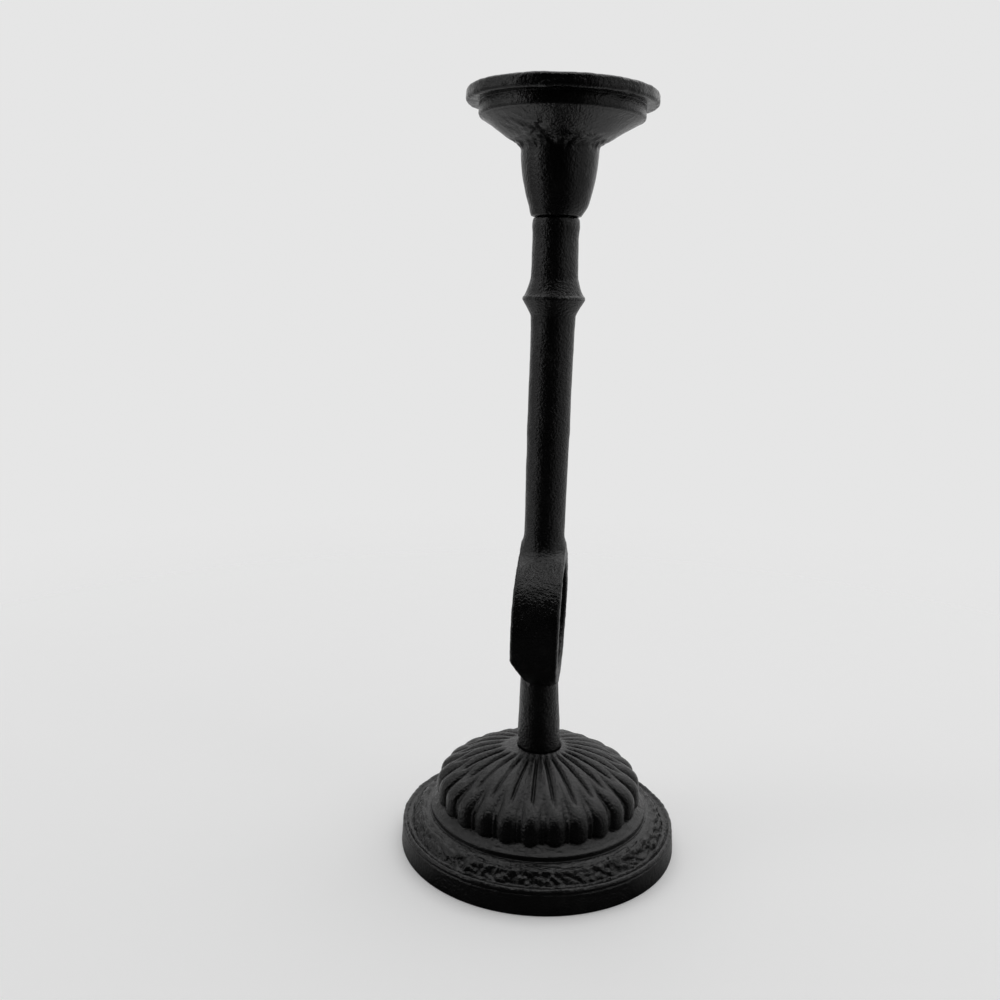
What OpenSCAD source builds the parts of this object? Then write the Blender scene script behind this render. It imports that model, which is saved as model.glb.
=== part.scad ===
// Cast-iron torchere candle stand: a gadrooned foot, a turned stem with a finger
// ring, and a candle cup that opens into a stepped drip pan.
// Millimetres, +Z up, origin on the table at the centre of the foot.
// The axis of the finger ring runs along X.

/* [Foot] */
// Diameter of the foot where it stands on the table
base_d = 130; // [122:1:150]
// Height of the plain skirt
skirt_h = 9.5; // [6:0.5:12]
// Draft of the skirt: how much its radius shrinks over its height
skirt_draft = 0.7; // [0.2:0.1:1.5]
// Width of the rolled bead above the skirt
bead_w = 2; // [1:0.25:3]
// Width of the sloping band that carries the leaf pattern
band_w = 9; // [6:0.5:10]
// Rise of that band from its outer edge to its inner edge
band_rise = 5.5; // [3:0.5:6]
// Depth that the band is sunk behind the bead
band_sink = 0.5; // [0.2:0.1:1]
// Height of the riser between the band and the ledge
riser_h = 2.5; // [1.5:0.25:3.5]
// Thickness of the iron
base_wall = 4.8; // [4:0.1:6]

/* [Gadroons] */
// Number of ribs round the dome, and of the bulbs between them
lobe_count = 26; // [18:1:32]
// Diameter over the tips of the bulbs
dome_d = 95.6; // [90:0.2:98]
// Height at which the bulbs turn vertical
tip_z = 27.5; // [25:0.5:29]
// Depth of the channels beside the bulbs at their tips
valley_depth = 3; // [1.5:0.25:4]
// Radius at which the bulbs begin to rise in the valleys between the ribs
bulb_start_r = 36; // [30:0.5:40]
// Radius at which they are full
bulb_full_r = 43.5; // [41:0.5:46]
// Half width of a bulb, as a share of the pitch
bulb_half = 0.37; // [0.34:0.01:0.38]
// Depth to which the rib sinks as it runs on between the bulbs, as a share of the channels' depth
dart_drop = 0.45; // [0.2:0.05:0.7]
// How full the dome's shoulder is: 2 is an ellipse, less is more pointed
dome_fullness = 1.75; // [1.6:0.05:2]

/* [Stem seat] */
// Height of the pad on top of the dome
seat_z = 48; // [46:0.5:50]
// Depth of the recess that centres the stem's foot
seat_depth = 1; // [0.5:0.25:2]
// Radial gap between the stem's foot and the recess
seat_gap = 0.3; // [0.15:0.05:0.5]
// Width of the rim round the recess
seat_rim = 1.6; // [1.2:0.2:3]
// Height of the boss's underside above the table
boss_z = 31; // [28:0.5:34]
// Diameter of the boss under the dome
boss_d = 27; // [26:1:32]

/* [Stem] */
// Length of the stem from its foot to its top
stem_len = 242.6; // [225:0.2:260]
// Diameter of the stem's foot
foot_d = 19.7; // [18.6:0.1:20.4]
// Height of the straight part of the foot
foot_h = 10; // [6:1:14]
// Diameter just below the finger ring
waist_d = 17.7; // [16.5:0.1:18.6]
// Diameter of the shaft just above the finger ring
shaft_low_d = 18.2; // [17:0.1:19]
// Diameter of the shaft below the knop
shaft_top_d = 19.2; // [18:0.1:20]
// Height at which the shaft reaches its full diameter
shaft_full_z = 200; // [180:1:215]

/* [Finger ring] */
// Outer diameter of the finger ring
ring_d = 62; // [54:1:66]
// Wall of the finger ring
ring_wall = 5.4; // [4:0.1:7]
// Width of the ring along its axis
ring_w = 21; // [19.4:0.1:24]
// Chamfer on the ring's edges
ring_edge = 1.1; // [0.4:0.1:1.6]
// Height of the ring's centre above the table
ring_z = 112; // [106:1:120]
// Radius of the fillet between the ring and the shaft above it
ring_fillet = 5; // [3:0.5:8]
// Radius of the tighter fillet between the ring and the stem below it
ring_fillet_low = 2; // [1:0.5:4]
// Height of the ground patch at the ring's lower left corner, where the casting gate was
gate_h = 18; // [12:1:20]
// How far that patch is ground into the ring's width
gate_w = 8.8; // [4:0.2:10]

/* [Knop and neck] */
// Diameter of the knop
knop_d = 27.2; // [24:0.2:32]
// Height of the knop's widest line above the table
knop_z = 255.2; // [248:0.2:260]
// Height of the flare below the knop's widest line
knop_below = 7; // [4:0.5:8]
// Height of the flare above the knop's widest line
knop_above = 9; // [6:0.5:11]
// Diameter of the neck just above the knop
neck_low_d = 20.6; // [19:0.2:22]
// Smallest diameter of the neck
neck_d = 19.7; // [18.5:0.1:20.5]
// Diameter of the roll at the top of the neck
neck_roll_d = 20.5; // [19.5:0.1:21.5]
// Height of that roll
neck_roll_h = 7; // [5:0.5:8]

/* [Candle cup] */
// Height of the cup from the joint with the neck to the pan's cone
cup_h = 28.4; // [26:0.2:32]
// Diameter of the cup's foot
cup_foot_d = 20.6; // [19:0.2:23]
// Diameter of the cup at its top
cup_top_d = 33.2; // [32:0.2:36]
// Bore of the candle socket, for a standard taper
socket_d = 22.4; // [21:0.1:23.5]
// Height of the socket's floor above the joint with the neck
socket_floor = 12.4; // [12:0.2:15]
// Depth of the pocket in that floor for the screw's head
pocket_depth = 5; // [4:0.2:5.6]
// Gap between the washer in that pocket and its wall
pocket_gap = 0.4; // [0.2:0.1:0.8]

/* [Drip pan] */
// Outer diameter of the pan's rim
pan_d = 79.6; // [76:0.2:90]
// Height of the rim's band
rim_h = 4.6; // [3:0.2:6]
// Width of the rim's top
rim_w = 2.6; // [1.8:0.2:4]
// Diameter of the step under the rim
step_d = 69.4; // [66:0.2:72]
// Height of that step
step_h = 5.6; // [4:0.2:7]
// Ledge between the step and the cone below it
step_ledge = 1; // [0.5:0.1:1.6]
// Height of the pan's cone
cone_h = 11.8; // [10:0.2:14]
// Depth of the pan's flat edge below the rim
pan_depth = 3.6; // [2:0.2:4.4]
// Thickness of the cone's iron, measured upright
pan_wall = 7; // [6:0.2:8]

/* [Fasteners] */
// Thread diameter of the bolt in the foot
bolt_d = 8; // [6:1:8]
// Length of that bolt under its head
bolt_len = 35; // [30:1:38]
// Width across the flats of its head
bolt_af = 13; // [10:1:14]
// Height of its head
bolt_head_h = 5.3; // [4:0.1:6]
// Clearance round the bolt in the foot
bolt_clear = 0.5; // [0.2:0.1:1]
// Thread diameter of the screw in the cup
screw_d = 6; // [5:0.5:6]
// Length of that screw under its head
screw_len = 20; // [16:1:24]
// Diameter of its pan head
screw_head_d = 12; // [9:0.5:13]
// Height of its pan head
screw_head_h = 3.6; // [2.5:0.1:4.5]
// Width of the slot in its head
slot_w = 1.6; // [1:0.1:2]
// Clearance round the screw in the cup
screw_clear = 0.3; // [0.15:0.05:0.6]
// Gap between a thread and the threaded hole in the stem
thread_gap = 0.1; // [0.05:0.05:0.2]
// Spare depth of a threaded hole beyond the end of its thread
hole_spare = 3; // [2:0.5:5]
// Outer diameter of the flat washer under the boss
washer_d = 22; // [18:0.5:24]
// Thickness of that washer
washer_t = 1.6; // [1:0.1:2]
// Outer diameter of the spring washer
spring_washer_d = 14.8; // [13:0.2:16]
// Thickness of the spring washer
spring_washer_t = 2; // [1.6:0.1:2.4]
// Width of the split in the spring washer
split_w = 1.2; // [0.8:0.1:2]
// Outer diameter of the washer under the screw
cup_washer_d = 16; // [13:0.5:17]
// Thickness of that washer
cup_washer_t = 1.2; // [0.8:0.1:1.6]
// Gap between each washer and the thread inside it
washer_gap = 0.2; // [0.1:0.05:0.4]

/* [Hidden] */
$fn = 96;

iron = "#17181a";
zinc = "#9ea2a6";

// Foot
base_r = base_d / 2;
skirt_r = base_r - skirt_draft;
bead_r = bead_w / 2;
bead_steps = 8;
band_out_r = skirt_r - bead_w - band_sink;
band_in_r = band_out_r - band_w;
band_z = skirt_h + bead_w - band_sink;
riser_z = band_z + band_rise;
riser_in = 1.2;
ledge_z = riser_z + riser_h;
ledge_rise = 0.6;
dome_r = dome_d / 2;
edge = 0.6;

// Stem seat
foot_r = foot_d / 2;
seat_r = foot_r + seat_gap;
stem_z = seat_z - seat_depth;
stem_top = stem_z + stem_len;
foot_edge = 1;

// Gadroons
lobe_steps = 8;
lobe_phase = 1;
rib_round = 3.8;
crest_steps = 8;
crest_start = 15;
seat_lift = 0.3;
skin_overlap = 0.6;
skin_t = 2.2;
skin_sink = 1.5;
dome_h = (seat_z - seat_lift - tip_z) / pow(cos(crest_start), 2 / dome_fullness);
tip_draft = 1.2;
fade_power = 0.8;
fade_r = seat_r + seat_rim + 1;

// Stem: root is how far it runs into the ring's wall, and slim a small step in a radius
root = 1;
slim = 0.1;
foot_taper = 9;
shaft_taper = 17;
knop_r = knop_d / 2;
knop_steps = 6;
knop_hollow = 1.2;
knop_hollow_top = 1.6;
knop_flat = 1.2;
neck_flare = 2;
neck_groove = 0.8;

// Finger ring
ring_r = ring_d / 2;
ring_in_r = ring_r - ring_wall;
flare_steps = 6;
far = 4 * base_r;

// Candle cup and pan
cup_z = stem_top;
socket_z = cup_z + socket_floor;
pocket_z = socket_z - pocket_depth;
pocket_r = cup_washer_d / 2 + pocket_gap;
cone_z = cup_z + cup_h;
step_z = cone_z + cone_h;
rim_z = step_z + step_h;
pan_top = rim_z + rim_h;
pan_r = pan_d / 2;
step_r = step_d / 2;
cone_r = step_r - step_ledge;
cup_top_r = cup_top_d / 2;
cup_foot_r = cup_foot_d / 2;
socket_r = socket_d / 2;
cone_slope = cone_h / (cone_r - cup_top_r);
mouth_edge = 1;
mouth_z = cone_z + pan_wall + cone_slope * (socket_r + mouth_edge - cup_top_r);
cup_steps = 10;
cup_power = 0.75;
lip = 0.6;
rim_slope = 0.8;
floor_slope = 0.8;
bowl_in = 2.6;
bowl_r = cone_r - 2 * bowl_in;

// Fasteners
bolt_r = bolt_d / 2;
bolt_hole_r = bolt_r + bolt_clear;
bolt_head_z = boss_z - washer_t - spring_washer_t;
bolt_tip_z = bolt_head_z + bolt_len;
screw_r = screw_d / 2;
screw_hole_r = screw_r + screw_clear;
screw_head_z = pocket_z + cup_washer_t;
screw_tip_z = screw_head_z - screw_len;
thread_bevel = 1;
hex_bevel = 1.1;
head_edge = 0.3;
head_crown = [[0, 0.55], [1, 0.9], [2.2, 1]];

// ---------- curves ----------

// Points of an arc in a profile, from angle a0 to a1
function arc(cr, cz, rad, a0, a1, steps) =
    [for (i = [0:steps]) let (a = a0 + (a1 - a0) * i / steps) [cr + rad * cos(a), cz + rad * sin(a)]];

// Crest line of the dome: t runs from the seat (crest_start) to the tips of the bulbs (90)
function crest_r(t) = dome_r * sin(t);
function crest_z(t) = tip_z + dome_h * pow(abs(cos(t)), 2 / dome_fullness);

// Direction into the iron, square to the crest line
function inward(t) =
    let (a = max(t - 1, 0.5), b = min(t + 1, 90), dr = crest_r(b) - crest_r(a), dz = crest_z(b) - crest_z(a),
         len = norm([dr, dz]))
    [dz / len, -dr / len];

// Depth of the valleys, which fade out towards the seat
function valley(t) = valley_depth * pow(max(crest_r(t) - fade_r, 0) / (dome_r - fade_r), fade_power);

// Crest line moved into the iron by its own valley depth and a set distance more
function inner_line(t, more) =
    let (n = inward(t), d = valley(t) + more)
    [crest_r(t) + n[0] * d, crest_z(t) + n[1] * d];

// Share of the valley depth across a rib: u runs from 0 on its crest to 0.5 in the valley
function rib_depth(u) = (1 - sqrt(1 - rib_round * u * u)) / (1 - sqrt(1 - rib_round / 4));

// Share of it across a bulb: u runs from 0 on its crest, past the channel, to 0.5 on the dart between two bulbs
function bulb_depth(u) =
    u < bulb_half
        ? 1 - sqrt(1 - pow(u / bulb_half, 2))
        : 1 - (1 - dart_drop) * (u - bulb_half) / (0.5 - bulb_half);

// Share of the bulbs in the relief at radius r: 0 where there are only ribs
function bulb_share(r) =
    let (x = min(max((r - bulb_start_r) / (bulb_full_r - bulb_start_r), 0), 1))
    x * x * (3 - 2 * x);

// Depth of the relief on the crest line at t, a share u of the pitch from a bulb's crest
function flute_depth(t, u) =
    let (s = bulb_share(crest_r(t)))
    valley(t) * ((1 - s) * rib_depth(0.5 - u) + s * bulb_depth(u));

// Radius of the hollow inside the ring of bulbs
hollow_r = inner_line(90 - (90 - crest_start) / crest_steps, base_wall)[0];

crest_t = [for (i = [0:crest_steps]) crest_start + (90 - crest_start) * i / crest_steps];

// ---------- foot ----------

// Angle of the k-th point round the dome, with a bulb's crest at point 0, close to the front
function flute_angle(k) = lobe_phase + 360 * k / (lobe_count * lobe_steps);

// Point of the fluted surface on the crest line at t, moved down by drop
function flute_point(t, k, drop) =
    let (a = flute_angle(k), u = 0.5 - abs((k % lobe_steps) / lobe_steps - 0.5), n = inward(t),
         d = flute_depth(t, u), r = crest_r(t) + n[0] * d - (drop > 0 ? tip_draft : 0))
    [r * sin(a), -r * cos(a), crest_z(t) + n[1] * d - drop];

function plain_point(p, k) = [p[0] * sin(flute_angle(k)), -p[0] * cos(flute_angle(k)), p[1]];

// Shell that carries the ribs and bulbs. Its outer side is the relief, and the rest lies inside the iron
module fluted_skin() {
    around = lobe_count * lobe_steps;
    sink_z = ledge_z - skin_sink;
    rings = [
        for (t = crest_t) [for (k = [0:around - 1]) flute_point(t, k, 0)],
        [for (k = [0:around - 1]) flute_point(90, k, tip_z - sink_z)],
        [for (k = [0:around - 1]) plain_point([inner_line(90, skin_t)[0] - tip_draft, sink_z], k)],
        for (i = [crest_steps:-1:0]) [for (k = [0:around - 1]) plain_point(inner_line(crest_t[i], skin_t), k)],
        [for (k = [0:around - 1]) plain_point([seat_r + seat_rim / 2, seat_z - skin_overlap - seat_lift], k)]
    ];
    count = len(rings);
    polyhedron(
        points = [for (ring = rings) each ring],
        faces = [
            for (j = [0:count - 1], k = [0:around - 1])
                let (k2 = (k + 1) % around, j2 = (j + 1) % count)
                each [[j * around + k, j * around + k2, j2 * around + k2],
                      [j * around + k, j2 * around + k2, j2 * around + k]]
        ]
    );
}

// Outer half of the foot's section, from the table up and in to the seat
function foot_outside() = concat(
    [[base_r - edge, 0], [base_r, edge], [skirt_r, skirt_h]],
    arc(skirt_r - bead_r, skirt_h + bead_r, bead_r, -40, 160, bead_steps),
    [[band_out_r, band_z], [band_in_r + edge, riser_z - edge / 2], [band_in_r, riser_z],
     [band_in_r - riser_in, riser_z], [band_in_r - riser_in, ledge_z - edge],
     [band_in_r - riser_in - edge, ledge_z],
     [inner_line(90, skin_overlap)[0] - tip_draft, ledge_z + ledge_rise]],
    [for (i = [crest_steps:-1:0]) inner_line(crest_t[i], skin_overlap)],
    [[seat_r + seat_rim, seat_z], [seat_r, seat_z], [seat_r, stem_z], [bolt_hole_r, stem_z]]
);

// Inner half, from the bolt's hole out and down to the table
function foot_inside() = concat(
    [[bolt_hole_r, boss_z], [boss_d / 2 - edge, boss_z], [boss_d / 2, boss_z + edge]],
    [[boss_d / 2, inner_line(crest_t[1], base_wall)[1]]],
    [for (i = [2:crest_steps - 1]) inner_line(crest_t[i], base_wall)],
    [[hollow_r, ledge_z - base_wall / 2], [hollow_r + base_wall / 2, ledge_z - base_wall],
     [band_in_r - base_wall / 2, riser_z - base_wall], [band_out_r - base_wall / 2, band_z - base_wall],
     [base_r - base_wall, band_z - base_wall - 1], [base_r - base_wall, 0]]
);

module base_casting() {
    color(iron) union() {
        rotate_extrude() polygon(concat(foot_outside(), foot_inside()));
        fluted_skin();
    }
}

// ---------- stem ----------

function lower_stem() = [
    [0, stem_z], [foot_r - foot_edge, stem_z], [foot_r, stem_z + foot_edge], [foot_r, stem_z + foot_h],
    [(foot_d + waist_d) / 4 - slim, stem_z + foot_h + foot_taper], [waist_d / 2, ring_z - ring_r],
    [waist_d / 2, ring_z - ring_in_r - root], [0, ring_z - ring_in_r - root]
];

function upper_stem() = concat(
    [[0, ring_z + ring_in_r + root], [shaft_low_d / 2, ring_z + ring_in_r + root],
     [shaft_low_d / 2, ring_z + ring_r + shaft_taper], [shaft_top_d / 2, shaft_full_z]],
    [for (i = [0:knop_steps]) let (u = i / knop_steps)
        [shaft_top_d / 2 + (knop_r - shaft_top_d / 2) * pow(u, knop_hollow), knop_z - knop_below * (1 - u)]],
    [for (i = [0:knop_steps]) let (u = i / knop_steps)
        [knop_r - slim - (knop_r - slim - neck_low_d / 2) * pow(u, 1 / knop_hollow_top),
         knop_z + knop_flat + (knop_above - knop_flat) * u]],
    [[neck_d / 2, stem_top - neck_roll_h - neck_flare], [neck_roll_d / 2 - slim, stem_top - neck_roll_h],
     [neck_roll_d / 2, stem_top - neck_roll_h / 2], [neck_roll_d / 2 - slim, stem_top - 2 * neck_groove],
     [neck_d / 2 - 2 * slim, stem_top - neck_groove], [neck_d / 2 - 2 * slim, stem_top], [0, stem_top]]
);

// Flare that runs from the stem out on to the ring, side +1 above the ring and -1 below it
module ring_flare(side, stem_r, fillet) {
    cr = stem_r + fillet;
    cz = sqrt(pow(ring_r + fillet, 2) - pow(cr, 2));
    flare = concat(
        [[0, ring_in_r + root], [0, cz]],
        arc(cr, cz, fillet, 180, 180 + atan2(cz, cr), flare_steps),
        [[stem_r + fillet / 2, ring_in_r + root]]
    );
    translate([0, 0, ring_z]) mirror([0, 0, side < 0 ? 1 : 0]) intersection() {
        rotate_extrude() polygon(flare);
        translate([-ring_w / 2, -ring_r, 0]) cube([ring_w, ring_d, ring_d]);
    }
}

module finger_ring() {
    w = ring_w / 2;
    section = [
        [ring_in_r + ring_edge, -w], [ring_r - ring_edge, -w], [ring_r, -w + ring_edge],
        [ring_r, w - ring_edge], [ring_r - ring_edge, w], [ring_in_r + ring_edge, w],
        [ring_in_r, w - ring_edge], [ring_in_r, -w + ring_edge]
    ];
    translate([0, 0, ring_z]) rotate([0, 90, 0]) rotate_extrude() polygon(section);
}

// Wedge of iron that is ground away at the ring's lower left corner
module gate_cut() {
    slope = atan2(gate_h, gate_w);
    translate([-ring_w / 2, 0, ring_z - ring_r + gate_h]) rotate([0, slope - 90, 0])
        translate([-far, -far / 2, -far]) cube([far, far, far]);
}

module stem_casting() {
    color(iron) difference() {
        union() {
            rotate_extrude() polygon(lower_stem());
            rotate_extrude() polygon(upper_stem());
            difference() {
                union() {
                    finger_ring();
                    ring_flare(1, shaft_low_d / 2, ring_fillet);
                    ring_flare(-1, waist_d / 2, ring_fillet_low);
                }
                intersection() {
                    gate_cut();
                    translate([-ring_w, -ring_r - root, ring_z - ring_r - root]) cube([ring_w, ring_r, ring_r]);
                }
            }
        }
        translate([0, 0, stem_z - 1])
            cylinder(r = bolt_r + thread_gap, h = bolt_tip_z + hole_spare - stem_z + 1);
        translate([0, 0, screw_tip_z - hole_spare])
            cylinder(r = screw_r + thread_gap, h = stem_top + 1 - screw_tip_z + hole_spare);
    }
}

// ---------- cup and pan ----------

// Vase curve of the cup from its foot to its top
function cup_side() = [
    for (i = [0:cup_steps]) let (u = i / cup_steps)
        [cup_foot_r + (cup_top_r - cup_foot_r) * pow(sin(90 * u), cup_power), cup_z + cup_h * u]
];

module cup_and_pan() {
    outside = concat(
        [[screw_hole_r, cup_z], [cup_foot_r, cup_z]],
        [for (i = [1:cup_steps]) cup_side()[i]],
        [[cone_r, step_z - lip], [cone_r, step_z], [step_r - lip, step_z], [step_r, step_z + lip],
         [step_r, rim_z], [pan_r - lip, rim_z], [pan_r, rim_z + lip], [pan_r - lip, pan_top - rim_slope],
         [pan_r - 2 * lip, pan_top]]
    );
    inside = [
        [pan_r - rim_w, pan_top], [pan_r - rim_w - rim_slope, pan_top - rim_slope],
        [pan_r - rim_w - 2 * rim_slope, pan_top - pan_depth],
        [step_r - bowl_in, pan_top - pan_depth - floor_slope],
        [bowl_r, mouth_z + cone_slope * (bowl_r - socket_r - mouth_edge)],
        [socket_r + mouth_edge, mouth_z], [socket_r, mouth_z - mouth_edge], [socket_r, socket_z],
        [pocket_r, socket_z], [pocket_r, pocket_z], [screw_hole_r, pocket_z]
    ];
    color(iron) rotate_extrude() polygon(concat(outside, inside));
}

// ---------- fasteners ----------

module base_bolt() {
    hex_r = bolt_af / 2 / cos(30);
    color(zinc) union() {
        translate([0, 0, bolt_head_z - bolt_head_h]) intersection() {
            cylinder(r = hex_r, h = bolt_head_h, $fn = 6);
            rotate_extrude() polygon([
                [0, 0], [bolt_af / 2 - head_edge, 0], [hex_r, hex_bevel], [hex_r, bolt_head_h], [0, bolt_head_h]
            ]);
        }
        translate([0, 0, bolt_head_z - 1]) rotate_extrude()
            polygon([[0, 0], [bolt_r, 0], [bolt_r, bolt_len + 1 - thread_bevel],
                     [bolt_r - thread_bevel, bolt_len + 1], [0, bolt_len + 1]]);
    }
}

module washer(outer_r, inner_r, t) {
    difference() {
        cylinder(r = outer_r, h = t);
        translate([0, 0, -1]) cylinder(r = inner_r, h = t + 2);
    }
}

module base_flat_washer() {
    color(zinc) translate([0, 0, boss_z - washer_t]) washer(washer_d / 2, bolt_r + washer_gap, washer_t);
}

module base_lock_washer() {
    color(zinc) translate([0, 0, bolt_head_z]) difference() {
        washer(spring_washer_d / 2, bolt_r + washer_gap, spring_washer_t);
        translate([-split_w / 2, 0, -1]) cube([split_w, spring_washer_d, spring_washer_t + 2]);
    }
}

module cup_screw() {
    head_r = screw_head_d / 2;
    color(zinc) difference() {
        translate([0, 0, screw_tip_z]) rotate_extrude() polygon([
            [0, 0], [screw_r - thread_bevel, 0], [screw_r, thread_bevel], [screw_r, screw_len],
            [head_r, screw_len], for (c = head_crown) [head_r - c[0], screw_len + screw_head_h * c[1]],
            [0, screw_len + screw_head_h]
        ]);
        translate([-head_r - 1, -slot_w / 2, screw_head_z + screw_head_h / 2])
            cube([2 * head_r + 2, slot_w, screw_head_h]);
    }
}

module cup_screw_washer() {
    color(zinc) translate([0, 0, pocket_z]) washer(cup_washer_d / 2, screw_r + washer_gap, cup_washer_t);
}

base_casting();
stem_casting();
cup_and_pan();
base_bolt();
base_flat_washer();
base_lock_washer();
cup_screw();
cup_screw_washer();
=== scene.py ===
"""Looks of a cast-iron torchere candle stand: its three castings, their paint, and a plain studio.

Sizes of the castings are in millimetres, and make_piece turns them into metres. Their sections are lines
of (radius, height, rounding) corners that turn round the stem's axis. Angle 0 is the front, towards -Y.
"""
import math

import bpy
import numpy as np
from mathutils import Matrix, Vector


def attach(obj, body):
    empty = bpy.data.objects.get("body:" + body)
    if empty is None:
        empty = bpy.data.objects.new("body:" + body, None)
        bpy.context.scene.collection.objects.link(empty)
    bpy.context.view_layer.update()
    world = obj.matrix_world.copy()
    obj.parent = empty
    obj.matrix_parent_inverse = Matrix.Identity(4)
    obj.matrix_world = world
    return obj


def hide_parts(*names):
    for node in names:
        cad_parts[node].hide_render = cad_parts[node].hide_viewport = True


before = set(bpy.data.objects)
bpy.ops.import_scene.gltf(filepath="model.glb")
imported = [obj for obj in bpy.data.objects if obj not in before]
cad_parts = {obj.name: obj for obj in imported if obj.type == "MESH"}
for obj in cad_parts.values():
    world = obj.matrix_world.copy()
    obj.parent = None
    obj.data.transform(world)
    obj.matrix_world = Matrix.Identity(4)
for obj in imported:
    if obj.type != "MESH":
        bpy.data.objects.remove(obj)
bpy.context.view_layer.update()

MM = 0.001
SEED = 7

# ---------- foot: sizes shared with its solid ----------

BASE_R = 65.0
SKIRT_R, SKIRT_H = 64.3, 9.5
BEAD_R = 1.0
BAND_OUT_R, BAND_IN_R = 61.8, 52.8
BAND_Z, RISER_Z, LEDGE_Z = 11.0, 16.5, 19.0
RISER_R = 51.6
BASE_WALL = 4.8

LOBES, LOBE_PHASE = 26, 1.0
DOME_R, TIP_Z, SEAT_Z = 47.8, 27.5, 48.0
SEAT_LIFT = 0.3
CREST_START = 15.0
FULLNESS = 1.75
DOME_H = (SEAT_Z - SEAT_LIFT - TIP_Z) / math.cos(math.radians(CREST_START)) ** (2 / FULLNESS)
SEAT_R, SEAT_RIM, STEM_Z = 10.15, 1.6, 47.0
BOSS_R, BOSS_Z, BOLT_HOLE_R = 13.5, 31.0, 4.5

# ---------- foot: forms of the scene alone ----------

# Depth of the valleys between bulbs, and the radii between which they deepen. At the sides and back they
# start further in by ROUND_VALLEY_IN
VALLEY = 3.2
WALL_START_R, WALL_FULL_R = 33.0, 44.0
ROUND_VALLEY_IN = 5
# Half width of a bulb and of the dart between two, and how high the dart stands in the valley. At the
# sides and back it is lower by the share ROUND_DART_LOSS
BULB_W, DART_W, DART_SHARE = 5.0, 1.1, 0.6
ROUND_DART_LOSS = 0.7
# (radius, height) points of a bulb's face, from the bank at its foot up to its shoulder
BULB_FACE = [(47.9, 21.0), (48.2, 23.5), (48.3, 26.5), (48.2, 29.0), (47.8, 31.0), (46.9, 32.8),
             (45.5, 34.4), (43.8, 35.8), (42.0, 37.0)]
# Distance along that line from the bank to the middle of a bulb's round lower end
BULB_LOW_END = 2.6
# Height of the bank over the ledge, by the distance in from the ledge's edge
BANK = ([0, 2.6, 5.0], [0.8, 2.9, 4.2])
# Below UPRIGHT_Z a bulb's relief turns straight out. The bank's bumps fade over BANK_FADE up a bulb's face
UPRIGHT_Z = 26
BANK_FADE = 3.5

# The front ribs are flat, with narrow grooves and a slight swell. The others are round. From one to the
# other it goes over ROUND_OVER radians, from ROUND_FROM radians off the front
GROOVE_DEPTH, GROOVE_W, SWELL = 1.35, 0.65, 0.45
ROUND_DEPTH, ROUND_FULL = 3.0, 0.97
ROUND_FROM, ROUND_OVER = 0.55, 0.5
# Ribs start at RIB_START_R, and fade over GROOVE_FADE up to GROOVE_END_R, or ROUND_END_IN less if round
RIB_START_R, GROOVE_END_R, GROOVE_FADE = 11.5, 43.0, 7
ROUND_END_IN = 1.5
# Radius of the hollow at its bottom corner
HOLLOW_R = 40.0

# Worn running leaves on the band: (curve, radii at its ends, height), with x round the foot from the start
# of a repeat and y in from the bead
LEAF_REPEATS, LEAF_R = 9, 57.3
LEAF_STROKES = [
    (((-2, 7.4), (11, 9.9), (23, 7.0)), (1.5, 1.1), 0.8),
    (((20, 7.2), (30, 5.4), (41, 7.5)), (1.3, 1.3), 0.8),
    (((0, 6.4), (7, 4.0), (9, 0.9)), (1.9, 0.7), 1.0),
    (((7, 6.8), (14, 5.0), (17, 1.6)), (1.9, 0.6), 1.05),
    (((15, 6.8), (22, 5.4), (26.5, 1.0)), (2.0, 0.6), 1.0),
    (((24, 6.4), (30, 4.6), (33, 1.4)), (1.8, 0.6), 0.95),
    (((32, 6.4), (36, 4.4), (40.5, 1.8)), (1.7, 0.6), 1.0),
    (((10, 2.8), (12.5, 0.8), (13, 3.4)), (0.9, 0.7), 0.9),
    (((28, 3.0), (30.5, 1.0), (30.5, 3.8)), (0.9, 0.7), 0.9),
]
LEAF_HEIGHT = 1.2

# ---------- stem: sizes shared with its solid ----------

STEM_TOP = 289.6
FOOT_R, WAIST_R = 9.85, 8.85
SHAFT_LOW_R, SHAFT_R, SHAFT_FULL_Z = 9.1, 9.6, 200.0
KNOP_R, KNOP_Z, KNOP_ABOVE = 13.6, 255.2, 9.0
NECK_LOW_R, NECK_R, NECK_ROLL_R = 10.3, 9.85, 10.25
RING_R, RING_WALL, RING_W, RING_Z = 31.0, 5.4, 21.0, 112.0
GATE_H, GATE_W = 18.0, 8.8
BOLT_THREAD_R, BOLT_HOLE_TOP = 4.1, 65.4
SCREW_THREAD_R, SCREW_HOLE_BASE = 3.1, 275.2

# ---------- stem: forms of the scene alone ----------

KNOP_BELOW = 6.8
RING_EDGE, RING_CROWN = 1.2, 0.35
# How far back the ground patch on the ring runs
GATE_BACK = 12
# Heights, and how far along X the casting strays from its centre line at each of them
WANDER = ([48, 56, 76, 100, 150, 200, 250], [-0.1, -0.6, -0.9, -0.9, -0.8, -0.45, 0])
# The ring's stray along X at its middle, its lean, and the limits of its stray
RING_STRAY, RING_LEAN, RING_STRAY_RANGE = -1.55, 0.018, (-2.1, -1.0)
SEAM_W, SEAM_H = 0.45, 0.10
RING_ROUGH, KNOP_ROUGH = 0.10, 0.12

# ---------- cup and pan: sizes shared with their solid ----------

CUP_Z, CUP_H, CUP_FOOT_R, CUP_TOP_R, SIDE_FULLNESS = 289.6, 28.4, 10.3, 16.6, 0.75
CONE_R, STEP_R, STEP_Z, RIM_Z, PAN_TOP = 33.7, 34.7, 329.8, 335.4, 340.0
SOCKET_R, SOCKET_Z, MOUTH_Z = 11.2, 302.0, 321.96
POCKET_R, POCKET_Z, SCREW_HOLE_R = 8.4, 297.0, 3.3

# ---------- cup and pan: forms of the scene alone ----------

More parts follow.
